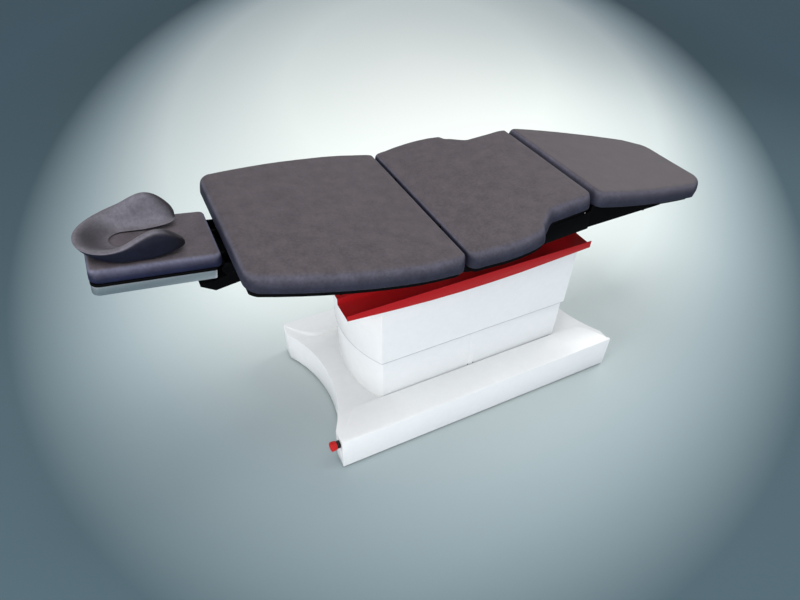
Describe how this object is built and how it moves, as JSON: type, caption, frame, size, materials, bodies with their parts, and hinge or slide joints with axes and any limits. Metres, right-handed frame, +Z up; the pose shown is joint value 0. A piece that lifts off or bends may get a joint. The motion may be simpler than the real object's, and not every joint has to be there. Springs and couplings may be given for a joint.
{
  "type": "patient couch",
  "caption": "Powered height-adjustable patient couch with tilting seat, jointed back and leg sections, and a sliding headrest with a face cradle.",
  "frame": {"origin": "centre of the bounding box at floor level", "axes": "+X towards the foot end, +Y to the patient's left when lying face up with the head at -X, +Z up"},
  "size_m": [2.3628, 0.7916, 1.0792],
  "materials": {
    "white_sheet": "glossy white powder coat",
    "red_sheet": "satin red powder coat",
    "bare_steel": "zinc-plated steel",
    "bright_metal": "fine brushed and anodised",
    "black_steel": "black powder coat",
    "dark_plastic": "moulded, fine texture",
    "white_plastic": "self-lubricating polymer",
    "rubber_foot": "matt",
    "bronze": "turned bearing bronze",
    "red_knob": "moulded, glossy",
    "board": "black-faced plywood",
    "upholstery": "fine-grained synthetic leather, semi-matt",
    "hook_loop": "hook-and-loop strip"
  },
  "bodies": {
    "base": {"base_cover": "white_sheet", "base_frame": "bare_steel", "levelling_feet": "rubber_foot", "foot_studs": "bare_steel", "lower_cover": "white_sheet", "head_column_outer": "bright_metal", "foot_column_outer": "bright_metal", "column_glides": "white_plastic", "lift_motors": "dark_plastic", "spindle_tubes": "bare_steel", "control_box": "dark_plastic", "mains_inlet": "dark_plastic", "e_stop_collar": "dark_plastic"},
    "stop_knob": {"e_stop_knob": "red_knob"},
    "carriage": {"red_tray": "red_sheet", "carriage_frame": "black_steel", "upper_cover": "white_sheet", "head_column_inner": "bright_metal", "foot_column_inner": "bright_metal", "push_tubes": "bare_steel", "tilt_brackets": "black_steel", "tilt_pins": "bright_metal", "tilt_actuator_body": "dark_plastic"},
    "tilt_rod": {"tilt_actuator_rod": "bare_steel"},
    "top": {"top_frame": "black_steel", "tilt_bushes": "bronze", "seat_box": "black_steel", "seat_board": "board", "seat_cushion": "upholstery", "back_hinge_ears": "black_steel", "back_hinge_pins": "bare_steel", "leg_hinge_ears": "black_steel", "leg_hinge_pins": "bare_steel", "back_actuator_body": "dark_plastic", "leg_actuator_body": "dark_plastic"},
    "back_rod": {"back_actuator_rod": "bare_steel"},
    "leg_rod": {"leg_actuator_rod": "bare_steel"},
    "back": {"back_frame": "black_steel", "back_board": "board", "back_cushion": "upholstery", "head_bracket": "black_steel", "head_lugs": "black_steel"},
    "head_tilt": {"headrest_knuckle": "black_steel", "headrest_pin": "bare_steel", "headrest_rods": "bright_metal"},
    "head_slide": {"headrest_frame": "bright_metal", "headrest_slides": "dark_plastic", "headrest_board": "board", "headrest_pad": "upholstery", "face_cradle": "upholstery", "cradle_pads": "hook_loop"},
    "leg": {"leg_frame": "black_steel", "leg_board": "board", "leg_cushion": "upholstery"}
  },
  "joints": [
    {"name": "lift", "type": "slide", "parent": "base", "child": "carriage", "axis": [0, 0, 1], "range_m": [-0.19, 0.04]},
    {"name": "top_tilt", "type": "hinge", "parent": "carriage", "child": "top", "pos_m": [-0.433, 0, 0.709], "axis": [0, -1, 0], "range_deg": [-4, 8]},
    {"name": "tilt_rod_slide", "type": "slide", "parent": "carriage", "child": "tilt_rod", "axis": [0, 0, 1], "range_m": [-0.0453, 0.0905]},
    {"name": "back_tilt", "type": "hinge", "parent": "top", "child": "back", "pos_m": [-0.10223, 0, 0.88149], "axis": [0, 1, 0], "range_deg": [-12.2, 47.8]},
    {"name": "back_rod_slide", "type": "slide", "parent": "top", "child": "back_rod", "axis": [-0.9976, 0, -0.0698], "range_m": [-0.0236, 0.0922]},
    {"name": "leg_tilt", "type": "hinge", "parent": "top", "child": "leg", "pos_m": [0.46468, 0, 0.87402], "axis": [0, 1, 0], "range_deg": [-17.4, 27.6]},
    {"name": "leg_rod_slide", "type": "slide", "parent": "top", "child": "leg_rod", "axis": [-0.9976, 0, -0.0698], "range_m": [-0.0177, 0.0281]},
    {"name": "headrest_tilt", "type": "hinge", "parent": "back", "child": "head_tilt", "pos_m": [-0.80294, 0, 0.90568], "axis": [0, 1, 0], "range_deg": [-14, 12]},
    {"name": "headrest_slide", "type": "slide", "parent": "head_tilt", "child": "head_slide", "axis": [-0.9905, 0, 0.1374], "range_m": [0, 0.08]},
    {"name": "e_stop_press", "type": "slide", "parent": "base", "child": "stop_knob", "axis": [1, 0, 0], "range_m": [0, 0.005]}
  ],
  "couplings": [
    {"joint": "tilt_rod_slide", "follows": "top_tilt", "m_per_rad": 0.648},
    {"joint": "back_rod_slide", "follows": "back_tilt", "m_per_rad": 0.11048},
    {"joint": "leg_rod_slide", "follows": "leg_tilt", "m_per_rad": 0.05824}
  ]
}
